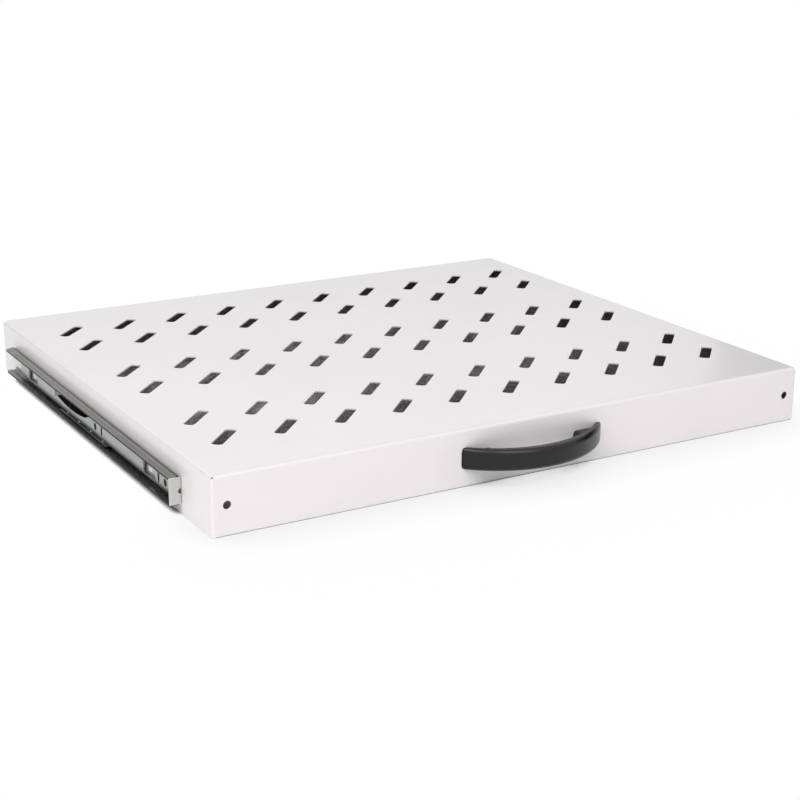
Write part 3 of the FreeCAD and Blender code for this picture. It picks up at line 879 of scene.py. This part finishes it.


# stage: a white floor that keeps some real shadow and carries painted contact shadows, painted shade under the tray
# and a painted lighter left side in its colour and glow, an even sky, broad lamps from the left and the front, and
# two dark cards for the metal and the paint to mirror
studio = {"sky": 0.5, "floorSize": 14.0, "contact": 0.16, "samples": 16, "glowNear": 0.85, "glowRise": 0.5,
          "glowLit": 0.2, "litSide": (-12.5, 10.0, 0.0), "litEdge": -0.75,
          "deepShadeRamp": ((0.05, (0.05, 0.043, 0.044)), (0.189, (0.053, 0.046, 0.047))),
          "shadedRamp": ((0.26, 0.7), (0.38, 0.84), (0.6, 0.9), (0.8, 0.96), (0.9, 0.99), (1.0, 1.0)),
          "litRamp": ((0.2, 0.75), (0.26, 1.0))}
leftLamp = {"place": (-1.05, -0.55, 1.05), "target": (-0.1, -0.1, 0.0), "size": 0.9, "power": 8.5}
frontLamp = {"place": (-0.1, -1.1, 1.3), "target": (0.0, -0.1, 0.0), "size": 1.0, "power": 7.5}
leftCard = {"place": (-1.0, 1.4, 0.65), "size": (1.2, 2.4), "tone": 0.03}
rightCard = {"place": (1.5, 0.36, 0.55), "size": (1.1, 1.95), "tone": 0.08}


def stageObject(name, bm, material):
    mesh = bpy.data.meshes.new(name)
    bm.to_mesh(mesh)
    bm.free()
    mesh.materials.append(material)
    made = bpy.data.objects.new(name, mesh)
    bpy.context.scene.collection.objects.link(made)
    return made


def seenDirectly(finish):
    # by the camera, or in metal and glass
    seen, mirrored, through = [finish.node("ShaderNodeLightPath", out=name)
                               for name in ("Is Camera Ray", "Is Glossy Ray", "Is Transmission Ray")]
    return seen.sums("MAXIMUM", seen, seen.sums("MAXIMUM", mirrored, through))


def makeFloor():
    bm = bmesh.new()
    rectangle(bm, Matrix.Identity(4), studio["floorSize"], studio["floorSize"])
    white = newFinish("floorWhite")
    # ambient occlusion sets the floor's tone: painted contact shadow round the object, and painted shade under the
    # tray through the deep shade ramp
    openness = white.openness(studio["contact"], studio["samples"])
    dark = list(studio["deepShadeRamp"])
    shaded, bright = [white.ramp(openness, dark + [(grey, (tone,) * 3) for grey, tone in studio[name]])
                      for name in ("shadedRamp", "litRamp")]
    # the left side of the floor is lifted by its position: painted light
    place = white.node("ShaderNodeTexCoord", out="Object")
    across = white.node("ShaderNodeVectorMath", {"operation": "DOT_PRODUCT"}, {0: place, 1: studio["litSide"]},
                        out="Value")
    lift = white.node("ShaderNodeMath", {"operation": "ADD", "use_clamp": True}, {0: across, 1: studio["litEdge"]})
    # the Mix node's colours are its sockets 6 and 7, and 2 on the way out
    tone = white.node("ShaderNodeMix", {"data_type": "RGBA"}, {0: lift, 6: shaded, 7: bright}, out=2)
    away = white.node("ShaderNodeVectorMath", {"operation": "LENGTH"}, {0: place}, out="Value")
    share = white.node("ShaderNodeMath", {"operation": "MULTIPLY_ADD", "use_clamp": True},
                       {0: away, 1: studio["glowRise"], 2: studio["glowNear"] + studio["glowLit"] * lift})
    lit = white.node("ShaderNodeBsdfDiffuse", {}, {"Color": tone})
    glow = white.node("ShaderNodeEmission", {}, {"Color": tone, "Strength": 1.0})
    both = white.node("ShaderNodeMixShader", {}, {"Fac": seenDirectly(white) * share, 1: lit, 2: glow})
    white.node("ShaderNodeOutputMaterial", {}, {"Surface": both})
    stageObject("floor", bm, finishes["floorWhite"])


def makeCard(name, look):
    # stands at one side, out of the camera's sight, and is only mirrored
    bm = bmesh.new()
    rectangle(bm, Matrix.Translation(look["place"]) @ toRight, *look["size"])
    dark = newFinish(name)
    dark.surface({"Base Color": (look["tone"],) * 3 + (1.0,), "Roughness": 1.0})
    card = stageObject(name, bm, finishes[name])
    card.visible_camera = False
    card.visible_diffuse = False
    card.visible_shadow = False


def makeLamp(name, look):
    lamp = bpy.data.lights.new(name, "AREA")
    lamp.size = look["size"]
    lamp.energy = look["power"]
    made = bpy.data.objects.new(name, lamp)
    made.location = look["place"]
    aim = Vector(look["target"]) - made.location
    made.rotation_euler = aim.to_track_quat("-Z", "Y").to_euler()
    bpy.context.scene.collection.objects.link(made)


def makeSky():
    world = bpy.data.worlds.new("studio")
    world.use_nodes = True
    bpy.context.scene.world = world
    sky = Finish(world.node_tree)
    strength = studio["sky"] + (1.0 - studio["sky"]) * seenDirectly(sky)
    shader = sky.node("ShaderNodeBackground", {}, {"Color": (1.0, 1.0, 1.0, 1.0), "Strength": strength})
    sky.node("ShaderNodeOutputWorld", {}, {"Surface": shader})


# camera: fitted to the slots and the tray's corners
viewer = {"place": (-0.54435, -0.93924, 0.34983), "azimuth": 29.908, "drop": 17.958, "roll": 0.269,
          "lens": 73.779, "sensor": 36.0, "shift": 0.01875}


def makeCamera():
    data = bpy.data.cameras.new("viewer")
    data.lens = viewer["lens"]
    data.sensor_width = viewer["sensor"]
    data.shift_x = viewer["shift"]
    camera = bpy.data.objects.new("viewer", data)
    swing = Matrix.Rotation(radians(-viewer["azimuth"]), 4, "Z")
    tip = Matrix.Rotation(radians(90 - viewer["drop"]), 4, "X")
    roll = Matrix.Rotation(radians(viewer["roll"]), 4, "Z")
    camera.matrix_world = Matrix.Translation(viewer["place"]) @ swing @ tip @ roll
    bpy.context.scene.collection.objects.link(camera)
    bpy.context.scene.camera = camera


makeFloor()
for name, look in (("leftCard", leftCard), ("rightCard", rightCard)):
    makeCard(name, look)
makeSky()
for name, look in (("leftLamp", leftLamp), ("frontLamp", frontLamp)):
    makeLamp(name, look)
makeCamera()
bpy.context.scene.view_settings.view_transform = "Standard"
bpy.context.view_layer.update()
print("stage, light and camera set")
